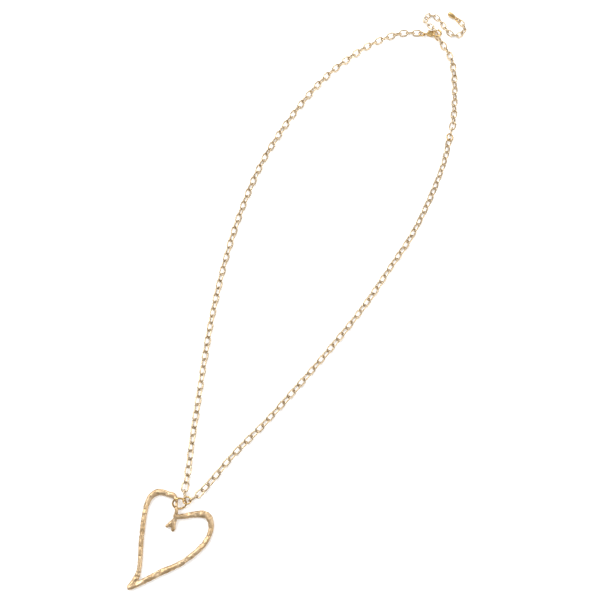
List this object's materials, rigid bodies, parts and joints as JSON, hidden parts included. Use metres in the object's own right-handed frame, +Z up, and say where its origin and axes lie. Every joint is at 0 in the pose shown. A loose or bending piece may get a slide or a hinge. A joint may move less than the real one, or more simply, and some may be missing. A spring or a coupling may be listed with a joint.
{
  "type": "pendant necklace",
  "caption": "Long necklace of oval cable chain with an open hammered heart pendant, closed by a lobster clasp and an extender chain that ends in a drop.",
  "frame": {"origin": "centre of the bounding box at the surface the necklace lies on", "axes": "+Z up from the surface, +Y from the heart towards the clasp, +X to the right as seen from above"},
  "size_m": [0.2325, 0.4151, 0.0073],
  "materials": {
    "satin_gold": "satin",
    "bright_gold": "polished"
  },
  "bodies": {
    "heart": {"heart": "satin_gold"},
    "pendant_ring": {"pendant_ring": "bright_gold"},
    "strand_ring": {"strand_ring": "bright_gold"},
    "left_strand_01": {"left_chain_01": "satin_gold"},
    "left_strand_02": {"left_chain_02": "satin_gold", "left_chain_03": "satin_gold"},
    "left_strand_03": {"left_chain_04": "satin_gold", "left_chain_05": "satin_gold"},
    "left_strand_04": {"left_chain_06": "satin_gold", "left_chain_07": "satin_gold"},
    "left_strand_05": {"left_chain_08": "satin_gold", "left_chain_09": "satin_gold"},
    "left_strand_06": {"left_chain_10": "satin_gold", "left_chain_11": "satin_gold"},
    "left_strand_07": {"left_chain_12": "satin_gold", "left_chain_13": "satin_gold"},
    "left_strand_08": {"left_chain_14": "satin_gold", "left_chain_15": "satin_gold", "left_chain_16": "satin_gold"},
    "clasp_ring": {"clasp_ring": "bright_gold"},
    "clasp": {"clasp_body": "bright_gold", "clasp_pin": "satin_gold", "clasp_spring": "satin_gold"},
    "clasp_lever": {"clasp_lever": "satin_gold"},
    "right_strand_01": {"right_chain_01": "satin_gold"},
    "right_strand_02": {"right_chain_02": "satin_gold", "right_chain_03": "satin_gold"},
    "right_strand_03": {"right_chain_04": "satin_gold", "right_chain_05": "satin_gold"},
    "right_strand_04": {"right_chain_06": "satin_gold", "right_chain_07": "satin_gold"},
    "right_strand_05": {"right_chain_08": "satin_gold", "right_chain_09": "satin_gold"},
    "right_strand_06": {"right_chain_10": "satin_gold", "right_chain_11": "satin_gold"},
    "right_strand_07": {"right_chain_12": "satin_gold"},
    "joining_ring": {"joining_ring": "bright_gold"},
    "upper_strand_01": {"upper_chain_01": "satin_gold"},
    "upper_strand_02": {"upper_chain_02": "satin_gold", "upper_chain_03": "satin_gold"},
    "end_ring": {"end_ring": "bright_gold"},
    "extender_01": {"extender_01": "satin_gold"},
    "extender_02": {"extender_02": "satin_gold"},
    "extender_03": {"extender_03": "satin_gold"},
    "extender_04": {"extender_04": "satin_gold"},
    "extender_05": {"extender_05": "satin_gold"},
    "drop_ring": {"drop_ring": "bright_gold"},
    "drop": {"drop": "bright_gold"}
  },
  "joints": [
    {"name": "pendant_ring_swing", "type": "hinge", "parent": "heart", "child": "pendant_ring", "pos_m": [-0.0875, -0.1588, 0.0033], "axis": [0.7568, -0.6536, 0], "range_deg": [-20, 12]},
    {"name": "strand_ring_swing", "type": "hinge", "parent": "pendant_ring", "child": "strand_ring", "pos_m": [-0.0817, -0.1563, 0.0042], "axis": [-0.2873, -0.9578, 0], "range_deg": [-7, 6]},
    {"name": "left_strand_01_lift", "type": "hinge", "parent": "strand_ring", "child": "left_strand_01", "pos_m": [-0.0823, -0.1538, 0.0027], "axis": [0.9899, 0.142, 0], "range_deg": [0, 9]},
    {"name": "left_strand_02_bend", "type": "hinge", "parent": "left_strand_01", "child": "left_strand_02", "pos_m": [-0.08048, -0.12888, 0.00247], "axis": [0, 0, 1], "range_deg": [0, 36]},
    {"name": "left_strand_03_bend", "type": "hinge", "parent": "left_strand_02", "child": "left_strand_03", "pos_m": [-0.07512, -0.07878, 0.00215], "axis": [0, 0, 1], "range_deg": [0, 36]},
    {"name": "left_strand_04_bend", "type": "hinge", "parent": "left_strand_03", "child": "left_strand_04", "pos_m": [-0.06841, -0.02885, 0.00215], "axis": [0, 0, 1], "range_deg": [0, 36]},
    {"name": "left_strand_05_bend", "type": "hinge", "parent": "left_strand_04", "child": "left_strand_05", "pos_m": [-0.05791, 0.02042, 0.00215], "axis": [0, 0, 1], "range_deg": [0, 36]},
    {"name": "left_strand_06_lift", "type": "hinge", "parent": "left_strand_05", "child": "left_strand_06", "pos_m": [-0.0423, 0.0683, 0.00215], "axis": [0.9274, -0.3741, 0], "range_deg": [0, 36]},
    {"name": "left_strand_07_lift", "type": "hinge", "parent": "left_strand_06", "child": "left_strand_07", "pos_m": [-0.01906, 0.11292, 0.00215], "axis": [0.8409, -0.5411, 0], "range_deg": [0, 36]},
    {"name": "left_strand_08_lift", "type": "hinge", "parent": "left_strand_07", "child": "left_strand_08", "pos_m": [0.01144, 0.15292, 0.00215], "axis": [0.7017, -0.7124, 0], "range_deg": [0, 36]},
    {"name": "clasp_ring_bend", "type": "hinge", "parent": "left_strand_08", "child": "clasp_ring", "pos_m": [0.0809, 0.1884, 0.0021], "axis": [0, 0, 1], "range_deg": [-1, 1]},
    {"name": "clasp_bend", "type": "hinge", "parent": "clasp_ring", "child": "clasp", "pos_m": [0.0842, 0.188, 0.00155], "axis": [0, 0, 1], "range_deg": [-1.5, 2]},
    {"name": "clasp_lever_open", "type": "hinge", "parent": "clasp", "child": "clasp_lever", "pos_m": [0.08876, 0.18862, 0.00171], "axis": [0.0348, 0.0024, -0.9994], "range_deg": [0, 14], "stiffness_Nm_per_rad": 0.002},
    {"name": "right_strand_01_lift", "type": "hinge", "parent": "strand_ring", "child": "right_strand_01", "pos_m": [-0.0794, -0.1547, 0.0027], "axis": [0.5157, -0.8568, 0], "range_deg": [0, 48]},
    {"name": "right_strand_02_bend", "type": "hinge", "parent": "right_strand_01", "child": "right_strand_02", "pos_m": [-0.06164, -0.1371, 0.00254], "axis": [0, 0, -1], "range_deg": [0, 36]},
    {"name": "right_strand_03_bend", "type": "hinge", "parent": "right_strand_02", "child": "right_strand_03", "pos_m": [-0.02743, -0.10008, 0.00214], "axis": [0, 0, -1], "range_deg": [0, 36]},
    {"name": "right_strand_04_bend", "type": "hinge", "parent": "right_strand_03", "child": "right_strand_04", "pos_m": [0.00562, -0.06196, 0.00215], "axis": [0, 0, -1], "range_deg": [0, 36]},
    {"name": "right_strand_05_bend", "type": "hinge", "parent": "right_strand_04", "child": "right_strand_05", "pos_m": [0.0397, -0.01819, 0.00215], "axis": [0, 0, -1], "range_deg": [0, 36]},
    {"name": "right_strand_06_bend", "type": "hinge", "parent": "right_strand_05", "child": "right_strand_06", "pos_m": [0.06751, 0.0239, 0.00215], "axis": [0, 0, -1], "range_deg": [0, 36]},
    {"name": "right_strand_07_bend", "type": "hinge", "parent": "right_strand_06", "child": "right_strand_07", "pos_m": [0.0891, 0.06945, 0.00214], "axis": [0, 0, -1], "range_deg": [0, 36]},
    {"name": "joining_ring_bend", "type": "hinge", "parent": "right_strand_07", "child": "joining_ring", "pos_m": [0.0978, 0.0984, 0.0023], "axis": [0, 0, -1], "range_deg": [0, 36]},
    {"name": "upper_strand_01_bend", "type": "hinge", "parent": "joining_ring", "child": "upper_strand_01", "pos_m": [0.0989, 0.1022, 0.00275], "axis": [0, 0, -1], "range_deg": [0, 33]},
    {"name": "upper_strand_02_bend", "type": "hinge", "parent": "upper_strand_01", "child": "upper_strand_02", "pos_m": [0.10328, 0.12651, 0.00224], "axis": [0, 0, -1], "range_deg": [0, 38]},
    {"name": "end_ring_swing", "type": "hinge", "parent": "upper_strand_02", "child": "end_ring", "pos_m": [0.09439, 0.1837, 0.0031], "axis": [0.7529, 0.6582, 0], "range_deg": [0, 4]},
    {"name": "extender_01_lift", "type": "hinge", "parent": "end_ring", "child": "extender_01", "pos_m": [0.09205, 0.1876, 0.0049], "axis": [0.8968, 0.4424, 0], "range_deg": [0, 4]},
    {"name": "extender_02_bend", "type": "hinge", "parent": "extender_01", "child": "extender_02", "pos_m": [0.08548, 0.19798, 0.00269], "axis": [0, 0, 1], "range_deg": [0, 30]},
    {"name": "extender_03_bend", "type": "hinge", "parent": "extender_02", "child": "extender_03", "pos_m": [0.09273, 0.20373, 0.00188], "axis": [0, 0, 1], "range_deg": [0, 30]},
    {"name": "extender_04_bend", "type": "hinge", "parent": "extender_03", "child": "extender_04", "pos_m": [0.09985, 0.19354, 0.0018], "axis": [0, 0, 1], "range_deg": [0, 30]},
    {"name": "extender_05_bend", "type": "hinge", "parent": "extender_04", "child": "extender_05", "pos_m": [0.10914, 0.18643, 0.00175], "axis": [0, 0, -1], "range_deg": [0, 30]},
    {"name": "drop_ring_swing", "type": "hinge", "parent": "extender_05", "child": "drop_ring", "pos_m": [0.1115, 0.1992, 0.00175], "axis": [0.7925, 0.6098, 0], "range_deg": [0, 20]},
    {"name": "drop_swing", "type": "hinge", "parent": "drop_ring", "child": "drop", "pos_m": [0.10898, 0.20141, 0.002], "axis": [0.6561, 0.7547, 0], "range_deg": [0, 50]}
  ]
}
